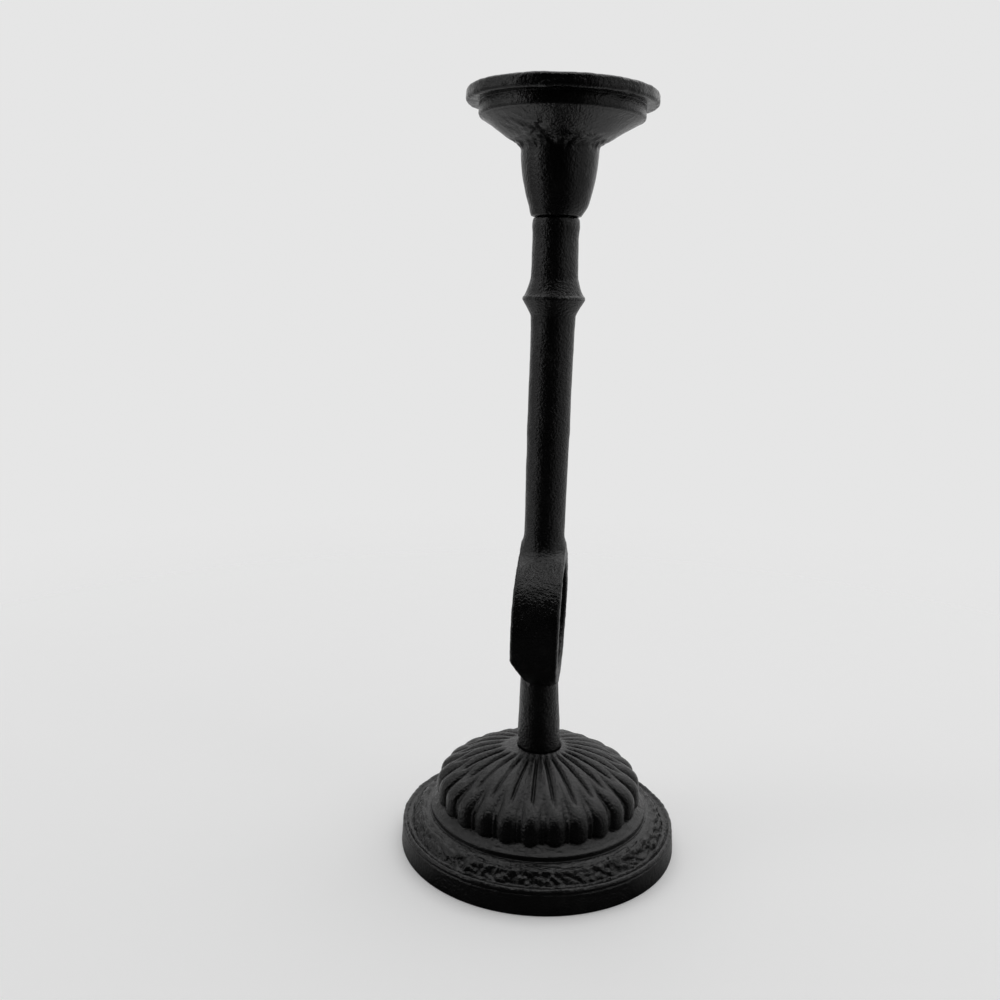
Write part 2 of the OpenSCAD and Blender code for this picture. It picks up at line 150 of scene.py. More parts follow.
PAN_R = 40.0
# The cup strays towards +X, and the pan strays further. The pan's rim is raised, and the pan tilts down
# towards +X by PAN_TILT radians
CUP_STRAY, PAN_STRAY, RIM_RISE, PAN_TILT = 0.7, 0.4, 0.1, 0.012
# How much the cone swells, and the rough joint where it meets the cup
CONE_FULLER = 0.4
JOINT_Z, JOINT_W = 319.0, 2.1

# ---------- studio ----------

# Camera of the photograph: distance and height in metres, and pitch, yaw and roll in radians
CAMERA_AWAY, CAMERA_Z = 0.443597, 0.257141
CAMERA_PITCH, CAMERA_YAW, CAMERA_ROLL = -0.202979457, -0.0481484122, 0.0225631613
# How far it stands round from the front, towards +X, in degrees, and its lens and sensor in millimetres
CAMERA_TURN = 4.3
CAMERA_LENS, CAMERA_SENSOR = 36, 36

# The floor's half size and the distances at which it fades into the background, in metres
FLOOR_HALF, FLOOR_FADE_FROM, FLOOR_FADE_TO = 3.0, 0.15, 0.75
# The floor's grey, and the glow that brings it to the photograph's pale tone for the camera
FLOOR_TONE, FLOOR_GLOW = 0.90, 0.12

# Light levels: the backdrop as the camera sees it, and the ceiling
BACKDROP, CEILING = 0.79, 0.34
# The walls give way to the ceiling between these heights, which are sines of the elevation
CEILING_FROM, CEILING_FULL = 0.76, 0.97
# The walls' strength from just below the horizon to just above it
HORIZON, WALL_LOW, WALL_HIGH = 0.15, 0.8, 1.35
# Level by direction, for the walls and for the floor as the stand reflects it. Both go from behind
# the stand, by its left side, to the camera at 0.5, and on by the right side
ROUND_ABOUT = [
    (0.0, 0.60), (0.10, 0.40), (0.20, 0.26), (0.262, 0.26), (0.275, 0.95), (0.298, 0.95), (0.312, 0.28),
    (0.335, 0.38), (0.35, 0.12), (0.365, 0.008), (0.56, 0.008), (0.62, 0.10), (0.65, 0.16), (0.665, 0.50),
    (0.68, 0.50), (0.70, 0.16), (0.75, 0.36), (0.80, 0.48), (1.0, 0.60)]
# The floor's grey in the stand's reflections is painted shade: dark in front as a painted shadow of the
# photographer, and dark behind the stand
FLOOR_MIRRORED_SHADE = [
    (0.0, 0.06), (0.04, 0.22), (0.08, 0.80), (0.20, 0.80), (0.27, 0.52), (0.33, 0.30), (0.37, 0.045),
    (0.62, 0.045), (0.68, 0.25), (0.75, 0.50), (0.82, 0.70), (0.92, 0.70), (0.96, 0.22), (1.0, 0.06)]

# The softbox: its place and size in metres, its power in watts, and the height that it faces
SOFTBOX_AT, SOFTBOX_SIZE, SOFTBOX_POWER, SOFTBOX_AIM_Z = (0.1, 0.25, 1.5), 2.0, 11, 0.17


# ---------- shapes in numbers ----------

def smooth(x):
    """0 below 0, 1 above 1, and a smooth step between."""
    x = np.clip(x, 0, 1)
    return x * x * (3 - 2 * x)


def bell(*offsets):
    """1 where every (distance, width) has a distance of 0, and a smooth fall to 0 round that."""
    return np.exp(-sum((distance / width) ** 2 for distance, width in offsets))


def lattice(ix, iy, iz, seed):
    """A repeatable value from -1 to 1 for each lattice point."""
    n = ix * 73856093 + iy * 19349663 + iz * 83492791 + seed * 2971215073
    n = (n ^ (n >> 13)) & 0x7FFFFFFF
    n = (n * 1274126177 + 1013904223) & 0x7FFFFFFF
    n = (n ^ (n >> 15)) & 0xFFFF
    return n / 32767.5 - 1


def lumps(points, size, field):
    """Smooth noise from -1 to 1 over points (..., 3), with lumps about size wide. Each field differs."""
    seed = SEED + field
    q = np.asarray(points) / size
    low = np.floor(q).astype(np.int64)
    w = smooth(q - low)
    out = 0
    for dx in (0, 1):
        for dy in (0, 1):
            for dz in (0, 1):
                share = (w[..., 0] if dx else 1 - w[..., 0]) * (w[..., 1] if dy else 1 - w[..., 1])
                share = share * (w[..., 2] if dz else 1 - w[..., 2])
                out = out + share * lattice(low[..., 0] + dx, low[..., 1] + dy, low[..., 2] + dz, seed)
    return out


def casting_noise(points, field):
    """Height of the unevenness of a sand casting under thick paint."""
    coarse = 0.10 * lumps(points, 9.0, field)
    return coarse + 0.07 * lumps(points, 3.6, field + 1) + 0.035 * lumps(points, 1.5, field + 2)


def outline(corners, step):
    """Points about step apart along a line through (r, z, rounding) corners."""
    corners = [np.array(c, float) for c in corners]
    points = [corners[0][:2]]
    for before, here, after in zip(corners, corners[1:], corners[2:]):
        p, q, s = before[:2], here[:2], after[:2]
        if here[2] <= 0:
            points.append(q)
            continue
        a = q + (p - q) * min(here[2] / np.linalg.norm(p - q), 0.5)
        b = q + (s - q) * min(here[2] / np.linalg.norm(s - q), 0.5)
        for u in np.linspace(0, 1, 6):
            points.append((1 - u) ** 2 * a + 2 * u * (1 - u) * q + u * u * b)
    points.append(corners[-1][:2])
    points = np.array(points)
    along = distances(points)
    at = np.linspace(0, along[-1], max(int(round(along[-1] / step)), 2) + 1)
    return np.stack([np.interp(at, along, points[:, 0]), np.interp(at, along, points[:, 1])], -1)


def distances(line):
    """Distance along a line (n, 2) of each of its points."""
    return np.r_[0, np.cumsum(np.linalg.norm(np.diff(line, axis=0), axis=1))]


def section_normals(line):
    """Unit normals of a section line (n, 2), to the right of its direction."""
    d = np.gradient(line, axis=0)
    d /= np.linalg.norm(d, axis=1)[:, None]
    return np.stack([d[:, 1], -d[:, 0]], -1)


def revolve(r, z, angle):
    """Points (rows, around, 3) for radii and heights (rows, around). The angle turns towards +X."""
    return np.stack([r * np.sin(angle), -r * np.cos(angle), z + 0 * angle], -1)


def turn_line(line, angle):
    """(radii, heights, points) of a section line turned round the axis."""
    r, z = line[:, :1], line[:, 1:]
    return r, z, revolve(r + 0 * angle, z, angle)


def raised(line, normals, relief, angle, lift=0):
    """Points of a turned section line, moved along its normals by relief and up by lift."""
    r, z = line[:, :1], line[:, 1:]
    return revolve(r + normals[:, :1] * relief, z + normals[:, 1:] * relief + lift, angle)


def angle_from(angle, degrees):
    """Signed angle from a direction, the short way round."""
    return (angle - math.radians(degrees) + math.pi) % (2 * math.pi) - math.pi


def grid_faces(rows, around):
    """Quads of a grid that closes both ways."""
    j, k = np.meshgrid(np.arange(rows), np.arange(around), indexing="ij")
    j2, k2 = (j + 1) % rows, (k + 1) % around
    corners = [j * around + k, j * around + k2, j2 * around + k2, j2 * around + k]
    return np.stack(corners, -1).reshape(-1, 4)


def make_piece(name, points, faces, node, material, normals=None):
    """A closed mesh piece from points in millimetres, which stands for a CAD node."""
    mesh = bpy.data.meshes.new(name)
    mesh.from_pydata((np.asarray(points).reshape(-1, 3) * MM).tolist(), [], np.asarray(faces).tolist())
    mesh.validate()
    mesh.shade_smooth()
    if normals is not None:
        mesh.normals_split_custom_set_from_vertices(normals.tolist())
    mesh.materials.append(material)
    piece = bpy.data.objects.new(name, mesh)
    bpy.context.scene.collection.objects.link(piece)
    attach(piece, "root")
    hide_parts(node)
    return piece


def gradient(field, points, step=0.08):
    """(gradient, value) of field at points."""
    out = np.zeros_like(points)
    for axis in range(3):
        move = np.zeros(3)
        move[axis] = step
        out[:, axis] = (field(points + move) - field(points - move)) / (2 * step)
    return out, field(points)


def surface_net(field, xs, ys, zs):
    """(points, quads, normals) of the surface where field is 0, found on a grid and moved on to it."""
    grid = np.stack(np.meshgrid(xs, ys, zs, indexing="ij"), -1)
    value = field(grid)
    inside = value < 0
    cells = tuple(n - 1 for n in value.shape)
    total, number = np.zeros(cells + (3,)), np.zeros(cells)
    crossings = []
    for axis in range(3):
        low = [slice(None)] * 3
        high = [slice(None)] * 3
        low[axis], high[axis] = slice(0, -1), slice(1, None)
        a, b = value[tuple(low)], value[tuple(high)]
        where = np.argwhere(inside[tuple(low)] != inside[tuple(high)])
        va, vb = a[tuple(where.T)], b[tuple(where.T)]
        pa, pb = grid[tuple(low)][tuple(where.T)], grid[tuple(high)][tuple(where.T)]
        point = pa + (va / (va - vb))[:, None] * (pb - pa)
        u, v = (axis + 1) % 3, (axis + 2) % 3
        around = []
        for du, dv in ((-1, -1), (0, -1), (0, 0), (-1, 0)):
            cell = where.copy()
            cell[:, u] += du
            cell[:, v] += dv
            np.add.at(total, tuple(cell.T), point)
            np.add.at(number, tuple(cell.T), 1)
            around.append(cell)
        crossings.append((around, va < 0))
    used = number > 0
    index = np.full(cells, -1)
    index[used] = np.arange(used.sum())
    points = total[used] / number[used][:, None]
    quads = []
    for around, rises in crossings:
        quad = np.stack([index[tuple(c.T)] for c in around], -1)
        quads.append(np.where(rises[:, None], quad, quad[:, ::-1]))
    for _ in range(4):
        slope, here = gradient(field, points)
        points = points - slope * (here / np.maximum((slope ** 2).sum(-1), 0.2))[:, None]
    slope, _ = gradient(field, points)
    return points, np.concatenate(quads), slope / np.linalg.norm(slope, axis=-1)[:, None]


def blended(a, b, reach):
    """Union of two fields with a fillet."""
    h = np.maximum(reach - np.abs(a - b), 0) / reach
    return np.minimum(a, b) - h * h * reach / 4


# ---------- foot ----------

def roundness(angle):
    """0 in front, where the ribs are worn flat, and 1 at the sides and back, where they are round."""
    return smooth((np.abs(angle_from(angle, 0)) - ROUND_FROM) / ROUND_OVER)


def rib_depth(u, r, angle):
    """Depth across a rib at radius r, from its groove at u 0 to its crest at u 0.5."""
    pitch = 2 * math.pi * r / LOBES
    flat = GROOVE_DEPTH * bell((u * pitch, GROOVE_W)) + SWELL * (1 - 2 * u) ** 2
    rounded = ROUND_DEPTH * (1 - np.sqrt(1 - ROUND_FULL * (1 - 2 * u) ** 2))
    return flat + (rounded - flat) * roundness(angle)


def bulb_depth(along, across, pitch, dart_share):
    """0 on a bulb and 1 in the valley, by the distances along the crest line and across from the crest."""
    past_end = np.maximum(BULB_LOW_END - along, 0)
    away = np.clip(np.hypot(across, past_end) / BULB_W, 0, 1)
    bulb = np.sqrt(1 - away ** 2)
    dart = dart_share * np.sqrt(np.clip(1 - ((pitch / 2 - across) / DART_W) ** 2, 0, 1))
    return 1 - np.maximum(bulb, dart)


def crest(t):
    """(r, z) of the dome's crest line at t degrees."""
    t = np.radians(t)
    return np.stack([DOME_R * np.sin(t), TIP_Z + DOME_H * np.abs(np.cos(t)) ** (2 / FULLNESS)], -1)


def curve_through(points, step):
    """Smooth line through points, resampled about step apart."""
    points = np.array(points, float)
    padded = np.vstack([2 * points[0] - points[1], points, 2 * points[-1] - points[-2]])
    dense = []
    for a, b, c, d in zip(padded, padded[1:], padded[2:], padded[3:]):
        for u in np.linspace(0, 1, 12, endpoint=False):
            bend = (2 * a - 5 * b + 4 * c - d) * u * u
            dense.append(0.5 * (2 * b + (c - a) * u + bend + (3 * b - a - 3 * c + d) * u ** 3))
    return outline([(p[0], p[1], 0) for p in dense + [points[-1]]], step)


def bulb_line():
    """The crest line from the foot of a bulb, over its shoulder and up to the seat."""
    upper = [tuple(p) for p in crest(np.array([54.0, 46.0, 38.0, 30.0, 22.0, CREST_START]))]
    return curve_through(BULB_FACE + upper, 0.52)


def stroke(x, y, curve, radii, height, length):
    """Rounded stroke of relief along a quadratic curve, on a strip that repeats every length."""
    best = np.zeros_like(x)
    a, b, c = (np.array(p, float) for p in curve)
    for u in np.linspace(0, 1, 15):
        p = (1 - u) ** 2 * a + 2 * u * (1 - u) * b + u * u * c
        dx = (x - p[0] + length / 2) % length - length / 2
        radius = radii[0] + (radii[1] - radii[0]) * u
        away = np.hypot(dx, y - p[1]) / radius
        tall = height * (0.45 + 0.55 * (1 - u))
        best = np.maximum(best, tall * np.sqrt(np.clip(1 - away ** 2, 0, 1)))
    return best


def leaf_band(angle, inward, at):
    """Height of the worn leaves at points: angle round the foot, and distance in from the bead."""
    length = 2 * math.pi * LEAF_R / LEAF_REPEATS
    x = angle / (2 * math.pi) * length * LEAF_REPEATS + 3.4 * lumps(at, 8.0, 25) + 1.3 * lumps(at, 2.7, 26)
    y = inward + 1.1 * lumps(at, 6.0, 27) + 0.7 * lumps(at, 2.4, 28)
    height = 0
    for curve, radii, tall in LEAF_STROKES:
        height = np.maximum(height, stroke(x, y, curve, radii, tall, length))
    waves = np.sin(2 * math.pi * (y * 0.75 + 0.5 * np.sin(2 * math.pi * x / length)))
    layers = 0.24 * waves * smooth((y - 5.5) / 2)
    ground = -1.5 + 1.3 * smooth((y - 4.3) / 2.5) + 0.6 * lumps(at, 1.5, 29) * smooth((6.5 - y) / 2)
    return ground + LEAF_HEIGHT * height + layers * smooth((9.9 - y) / 1.2)


def plain_outline():
    """The section up the foot's skirt, bead, band and riser, to the edge of the ledge."""
    return outline([
        (BASE_R - 0.9, 0, 0), (BASE_R - 0.1, 0, 0.5), (BASE_R, 1.0, 0.5),
        (SKIRT_R + 0.1, SKIRT_H - 0.3, 0.3), (SKIRT_R - 0.45, SKIRT_H + 0.1, 0.2),
        (SKIRT_R + 0.25, SKIRT_H + BEAD_R, 0.7), (SKIRT_R - BEAD_R, SKIRT_H + 2 * BEAD_R + 0.5, 0.9),
        (BAND_OUT_R + 0.2, BAND_Z + 0.1, 0.4), (BAND_OUT_R - 0.5, BAND_Z - 0.1, 0.3), (58.4, 14.6, 2.0),
        (BAND_IN_R + 0.4, RISER_Z + 0.3, 0.4), (RISER_R + 0.2, RISER_Z + 0.6, 0.2),
        (RISER_R - 0.5, RISER_Z + 0.3, 0.3), (RISER_R - 0.5, LEDGE_Z + 0.2, 0.25),
        (RISER_R - 1.2, LEDGE_Z + 0.6, 0.4), (RISER_R - 1.8, LEDGE_Z + 0.9, 0)], 0.42)


def plain_rows(line, angle):
    """Rows of the skirt, bead, band and riser, with their relief."""
    r, z, at = turn_line(line, angle)
    rise, run = RISER_Z - BAND_Z, BAND_OUT_R - BAND_IN_R
    inward = (BAND_OUT_R - r) * math.hypot(rise, run) / run
    on_band = smooth((BAND_OUT_R - 0.3 - r) / 0.8) * smooth((r - BAND_IN_R - 0.2) / 0.8)
    wear = 0.75 + 0.35 * lumps(at, 14.0, 20)
    leaves = leaf_band(angle, inward + 0 * angle, at) * wear + 0.25 * lumps(at, 1.6, 21)
    on_bead = bell((r - SKIRT_R + 0.8, 0.9)) * smooth((z - SKIRT_H) / 0.6)
    bead = 0.15 + 0.40 * lumps(at, 5.0, 22) + 0.26 * lumps(at, 1.6, 23)
    on_skirt = smooth((z - 1) / 2) * smooth((SKIRT_H - 0.8 - z) / 1.5) * smooth((r - 62) / 1)
    scar = bell((angle_from(angle, 7.7) * BASE_R, 0.7))
    relief = on_band * leaves + on_bead * bead + on_skirt * scar * (0.12 + 0.25 * lumps(at, 2.0, 24))
    relief = relief + casting_noise(at, 0) * smooth((z - 0.1) / 1.5)
    return raised(line, section_normals(line), relief, angle)


def bulb_valleys(line, share, angle):
    """Depth of the valleys between bulbs, with their darts, along the crest line."""
    pitch = 2 * math.pi * line[:, :1] / LOBES
    starts_at = line[:, :1] - WALL_START_R + ROUND_VALLEY_IN * roundness(angle)
    wall = smooth(starts_at / (WALL_FULL_R - WALL_START_R))
    dart_share = DART_SHARE * (1 - ROUND_DART_LOSS * roundness(angle))
    return VALLEY * wall * bulb_depth(distances(line)[:, None], share * pitch, pitch, dart_share)


def ledge_rows(start_r, end_r, angle):
    """(rows, heights) of the ledge, banked up from its edge to the feet of the bulbs."""
    u = np.linspace(0, 1, 9)[1:, None]
    r = start_r + (end_r - start_r) * u
    z = LEDGE_Z + 0.1 + np.interp(start_r - r, *BANK)
    at = revolve(r, z, angle)
    z = z + (0.25 * lumps(at, 3.0, 3) + 0.12 * lumps(at, 1.4, 8)) * smooth(u * 3) + casting_noise(at, 0)
    return revolve(r, z, angle), z


def dome_rows(line, valleys, lift, share, angle):
    """Rows of the bulbs and the ribs up to the seat. lift joins them to the ledge."""
    n = section_normals(line)
    upright = smooth((UPRIGHT_Z - line[:, 1:]) / 3)
    n = n * (1 - upright) + np.array([[1.0, 0.0]]) * upright
    lift = lift * smooth((line[0, 1] + BANK_FADE - line[:, 1:]) / BANK_FADE)
    line, n, lift, valleys = line[1:], n[1:], lift[1:], valleys[1:]
    r, z, at = turn_line(line, angle)
    plain_collar = 5.5 * bell((angle_from(angle, -80), 0.8))
    start = RIB_START_R + 1.5 * lumps(at, 12.0, 5) + plain_collar
    ends_at = r - GROOVE_END_R + GROOVE_FADE + ROUND_END_IN * roundness(angle)
    ribs = smooth((r - start) / 5) ** 0.7 * (1 - smooth(ends_at / GROOVE_FADE)) * rib_depth(share, r, angle)
    worn = 1 - 0.75 * bell((angle_from(angle, -33), 0.16), (r - 28, 6))
    line_mark = 0.12 * bell((0.5 - share, 0.04)) * smooth((r - 26) / 8) * smooth((z - 30) / 3)
    sink = (valleys + ribs * worn) * (1 + 0.18 * lumps(at, 9.0, 6)) + line_mark
    relief = casting_noise(at, 4) * smooth((r - 12) / 4) - sink
    return raised(line, n, relief, angle, lift)


def seat_outline(start):
    """The section from start on the dome, over the stem's seat and down the bolt's hole to the boss."""
    return outline([
        (start[0], start[1], 0), (SEAT_R + SEAT_RIM, SEAT_Z, 0.3), (SEAT_R, SEAT_Z, 0.2),
        (SEAT_R, STEM_Z, 0.1), (BOLT_HOLE_R, STEM_Z, 0.1), (BOLT_HOLE_R, BOSS_Z, 0.2),
        (BOSS_R - 0.3, BOSS_Z, 0.8), (BOSS_R, 42.0, 2.0)], 0.9)[1:]


def under_outline():
    """The section of the hollow, from the boss out under the dome and down to the rim."""
    dome = crest(np.linspace(26, 82, 10))
    fade_r = SEAT_R + SEAT_RIM + 1
    wall = BASE_WALL + VALLEY * ((dome[:, 0] - fade_r) / (DOME_R - fade_r)) ** 0.8
    dome = dome - section_normals(dome[::-1])[::-1] * wall[:, None]
    return outline(
        [(BOSS_R, 41.6, 0)] + [(p[0], p[1], 0) for p in dome if p[0] > BOSS_R + 2]
        + [(HOLLOW_R, LEDGE_Z - 3, 1.5), (HOLLOW_R + 3, LEDGE_Z - BASE_WALL, 2),
           (BAND_IN_R - 2.4, RISER_Z - BASE_WALL, 2), (BAND_OUT_R - 2.4, BAND_Z - BASE_WALL, 2),
           (BASE_R - BASE_WALL, BAND_Z - BASE_WALL - 1, 1.5), (BASE_R - BASE_WALL, 0, 0.3),
           (BASE_R - 1.3, 0, 0)], 2.2)[1:]


def foot_rows(angle):
    """Points of the whole foot by row: up the outside, down the bolt's hole, and back out underneath."""
    pitch = 2 * math.pi / LOBES
    share = 0.5 - np.abs(((angle - math.radians(LOBE_PHASE)) / pitch) % 1 - 0.5)
    plain, crest_line = plain_outline(), bulb_line()
    valleys = bulb_valleys(crest_line, share, angle)
    ledge, ledge_z = ledge_rows(plain[-1, 0], crest_line[0, 0] - valleys[:1], angle)
    dome = dome_rows(crest_line, valleys, ledge_z[-1:] - crest_line[0, 1], share, angle)
    seat = turn_line(seat_outline(crest_line[-1]), angle)[2]
    hollow = under_outline()
    _, z, at = turn_line(hollow, angle)
    rough = (0.25 * lumps(at, 2.6, 9) + 0.25 * lumps(at, 7.0, 10)) * smooth((z - 0.1) / 2)
    under = raised(hollow, section_normals(hollow), rough, angle)
    return np.concatenate([plain_rows(plain, angle), ledge, dome, seat, under])


def build_foot(material):
    around = LOBES * 24
    angle = np.arange(around)[None, :] * 2 * math.pi / around
    points = foot_rows(angle)
    faces = grid_faces(points.shape[0], around)
    return make_piece("foot_casting_shell", points, faces, "base_casting", material)


# ---------- stem ----------

def stem_line():
    """(heights, radii) of the turned line of the stem, without its ring."""
    line = [(47.0, 8.9), (47.15, 9.35), (47.5, 9.7), (48.1, FOOT_R), (57.0, FOOT_R), (61.0, 9.7),
            (66.0, 9.4), (74.0, 9.05), (80.0, WAIST_R), (112.0, WAIST_R), (112.1, SHAFT_LOW_R),
            (160.0, SHAFT_LOW_R), (171.0, 9.2), (185.0, 9.4), (SHAFT_FULL_Z, 9.52), (228.0, 9.55),
            (243.0, SHAFT_R)]
    low_r, high_r = SHAFT_R + 0.25, KNOP_R - 0.2
    for u in np.linspace(0, 1, 14):
        line.append((KNOP_Z - KNOP_BELOW * (1 - u), low_r + (KNOP_R - SHAFT_R - 0.25) * u ** 1.15))
    line.append((KNOP_Z + 0.5, KNOP_R))
    for u in np.linspace(0, 1, 16):
        line.append((KNOP_Z + 1.2 + (KNOP_ABOVE - 1.2) * u, high_r - (high_r - NECK_LOW_R) * u ** 0.65))
    line += [(269.0, 10.15), (275.0, 9.98), (280.6, NECK_R), (283.0, 9.95), (285.6, NECK_ROLL_R),
             (287.2, 10.2), (288.6, 10.0), (289.2, 9.75), (289.5, 9.3), (STEM_TOP, 8.8)]
    line = np.array(line)
    return line[:, 0], line[:, 1]


STEM_LINE = stem_line()


def turned(p, z_from, z_to):
    """Field of the stem's turned line between two heights."""
    z = p[..., 2]
    r = np.hypot(p[..., 0] - np.interp(z, *WANDER), p[..., 1])
    step = 0.3
    lean = (np.interp(z + step, *STEM_LINE) - np.interp(z - step, *STEM_LINE)) / (2 * step)
    side = (r - np.interp(z, *STEM_LINE)) / np.sqrt(1 + lean ** 2)
    return np.maximum(side, np.maximum(z_from - z, z - z_to))


def ring_shift(p):
    """How far along X the ring, which leans a little, strays."""
    return np.clip(RING_STRAY + (p[..., 2] - RING_Z) * RING_LEAN, *RING_STRAY_RANGE)


def ring_field(p):
    """Field of the finger ring, with rounded edges and its gate ground off."""
    middle, half_wall, half_w = RING_R - RING_WALL / 2, RING_WALL / 2, RING_W / 2
    rho = np.hypot(p[..., 1], p[..., 2] - RING_Z)
    x = p[..., 0] - ring_shift(p)
    crown = RING_CROWN * (1 - (x / half_w) ** 2)
    qx = np.abs(x) - half_w + RING_EDGE
    qr = np.abs(rho - middle - crown / 2) - half_wall - crown / 2 + RING_EDGE
    out = np.hypot(np.maximum(qx, 0), np.maximum(qr, 0)) + np.minimum(np.maximum(qx, qr), 0) - RING_EDGE
    lean = math.atan2(GATE_W, GATE_H)
    dx, dz = x + half_w, p[..., 2] - (RING_Z - RING_R + GATE_H)
    ground = np.maximum(dx * math.cos(lean) + dz * math.sin(lean), p[..., 1] - GATE_BACK)
    return np.maximum(out, -ground)


def stem_field(p):
    """Field of the whole stem casting, negative inside."""
    root = 1.6
    inner = RING_R - RING_WALL
    low = turned(p, STEM_Z, RING_Z - inner - root)
    high = turned(p, RING_Z + inner + root, STEM_TOP)
    ring = ring_field(p)
    rho = np.hypot(p[..., 1], p[..., 2] - RING_Z)
    above = smooth((p[..., 2] - RING_Z) / 10 + 0.5)
    reach = 0.2 + (2.6 + 5.9 * above) * smooth((rho - inner - 2.2) / 3.0)
    width = np.abs(p[..., 0] - ring_shift(p)) - RING_W / 2 + 0.25
    flare = np.maximum(blended(ring, np.minimum(low, high), reach), width)
    body = np.minimum(np.minimum(ring, np.minimum(low, high)), flare)
    seam = bell((p[..., 0], SEAM_W)) * SEAM_H * smooth((np.abs(p[..., 1]) - 4) / 3)
    body = body - casting_noise(p, 30) - seam * (0.6 + 0.6 * lumps(p, 11.0, 33))
    ring_zone = smooth((RING_R + 6 - rho) / 6)
    knop_zone = bell((p[..., 2] - KNOP_Z - 1, 5))
    body = body - (RING_ROUGH * ring_zone + KNOP_ROUGH * knop_zone) * lumps(p, 2.2, 34)
    axis = np.hypot(p[..., 0], p[..., 1])
    body = np.maximum(body, np.minimum(BOLT_THREAD_R - axis, BOLT_HOLE_TOP - p[..., 2]))
    return np.maximum(body, np.minimum(SCREW_THREAD_R - axis, p[..., 2] - SCREW_HOLE_BASE))


def spaced(*runs):
    """Coordinates in runs of (from, to, step), joined end to end."""
    out = [np.linspace(a, b, max(int(round((b - a) / step)), 1), endpoint=False) for a, b, step in runs]
    return np.concatenate(out + [[runs[-1][1]]])


def build_stem(material):
    """The stem from its field, on a grid that is finer where the form turns quickly."""
    fine, stem_x, ring_y = 0.62, 14.6, 34.2
    xs = spaced((-stem_x, stem_x, fine))
    ys = spaced((-ring_y, -stem_x, fine), (-stem_x, stem_x, fine), (stem_x, ring_y, fine))
    zs_low = spaced((45.8, 50, 0.35), (50, 78, 0.9), (78, 146, fine), (146, 150, 0.8))
    zs_high = spaced((150, 247, 1.25), (247, 258, 0.4), (258, 268, 0.6), (268, 286, 0.9), (286, 291.0, 0.3))
    zs = np.concatenate([zs_low, zs_high[1:]])
    points, quads, normals = surface_net(stem_field, xs, ys, zs)
    return make_piece("stem_and_ring", points, quads, "stem_casting", material, normals)


# ---------- cup and pan ----------

def mark(angle, s, from_deg, to_deg, s_from, s_to, width):
    """Closeness, from 0 to 1, to a straight mark on an unrolled surface: degrees across, s along."""
    radius = 20.0
    x, y = angle_from(angle, from_deg) * radius, s - s_from
    dx, dy = math.radians(to_deg - from_deg) * radius, s_to - s_from
    t = np.clip((x * dx + y * dy) / (dx * dx + dy * dy), 0, 1)
    return bell((np.hypot(x - t * dx, y - t * dy), width))


def cup_outline():
    """The section up the outside, from the screw's hole to the top of the pan's rim."""
    side = [(CUP_FOOT_R + (CUP_TOP_R - CUP_FOOT_R) * math.sin(math.pi / 2 * u) ** SIDE_FULLNESS,
             CUP_Z + CUP_H * u, 0.3) for u in np.linspace(0.02, 0.88, 15)]
    rim_top = PAN_TOP + RIM_RISE
    return outline(
        [(SCREW_HOLE_R, CUP_Z + 0.1, 0), (CUP_FOOT_R - 0.9, CUP_Z + 0.1, 0.3),
         (CUP_FOOT_R - 0.1, CUP_Z + 0.5, 0.5)] + side
        + [(CUP_TOP_R + 0.05, CUP_Z + CUP_H - 0.5, 1.5), (18.0, 319.0, 1.5), (22.6, 322.5, 2),
           (30.4, 327.6, 2), (CONE_R - 0.5, STEP_Z - 0.6, 0.8), (CONE_R + 0.1, STEP_Z - 0.1, 0.3),
           (STEP_R - 0.3, STEP_Z - 0.1, 0.4), (STEP_R + 0.05, STEP_Z + 0.6, 0.4),
           (STEP_R - 0.1, RIM_Z - 0.1, 0.5), (PAN_R - 0.5, RIM_Z, 0.5), (PAN_R, RIM_Z + 0.7, 0.5),
           (PAN_R - 0.2, PAN_TOP - 0.5, 0.6), (PAN_R - 0.9, rim_top, 0.6), (PAN_R - 1.9, rim_top, 0)], 0.42)


def socket_outline():
    """The section from the top of the rim, down the pan, the socket and the pocket, to the screw's hole."""
    rim_top = PAN_TOP + RIM_RISE
    return outline(
        [(PAN_R - 1.9, rim_top, 0), (PAN_R - 2.7, rim_top - 0.1, 0.6), (PAN_R - 3.7, PAN_TOP - 1.2, 0.6),
         (PAN_R - 4.2, PAN_TOP - 3.6, 0.8), (STEP_R - 2.6, PAN_TOP - 4.4, 1.5), (28.5, 333.2, 2.5),
         (SOCKET_R + 1.1, MOUTH_Z + 0.1, 0.8), (SOCKET_R, MOUTH_Z - 1.2, 0.8), (SOCKET_R, SOCKET_Z, 0.2),
         (POCKET_R, SOCKET_Z, 0.3), (POCKET_R, POCKET_Z, 0.3), (SCREW_HOLE_R, POCKET_Z, 0.2),
         (SCREW_HOLE_R, CUP_Z + 0.4, 0)], 1.1)[1:]


